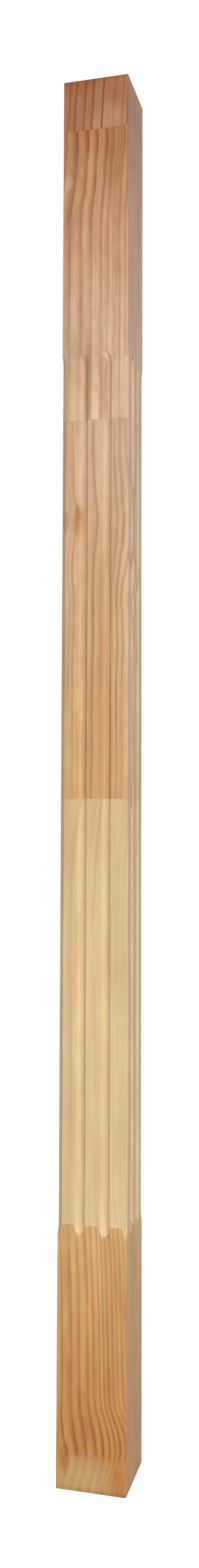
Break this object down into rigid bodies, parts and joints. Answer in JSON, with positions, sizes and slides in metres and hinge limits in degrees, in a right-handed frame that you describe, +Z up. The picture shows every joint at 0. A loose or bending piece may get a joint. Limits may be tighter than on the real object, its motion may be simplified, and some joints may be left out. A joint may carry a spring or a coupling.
{
  "type": "verandah post",
  "caption": "Square finger-jointed pine post with stopped flutes on its faces, stopped chamfers on its corners and plain square ends.",
  "frame": {"origin": "middle of the square underside, where the post stands on its footing", "axes": "+Z up along the post; -Y is the face seen at the front of the picture, where the joints show as straight lines"},
  "size_m": [0.118, 0.118, 2.4],
  "materials": {
    "golden_pine": "bare planed pine, golden orange with close straight grain",
    "straw_pine": "bare planed pine, pale straw with faint straight grain",
    "tan_pine": "bare planed pine, tan with wide bowed grain",
    "pink_pine": "bare planed pine, pinkish tan with wide dark grain",
    "red_pine": "bare planed pine, reddish brown with dark straight grain"
  },
  "bodies": {
    "root": {"base_block": "golden_pine", "lower_block": "straw_pine", "middle_block": "tan_pine", "upper_block": "pink_pine", "top_block": "red_pine"}
  },
  "joints": []
}
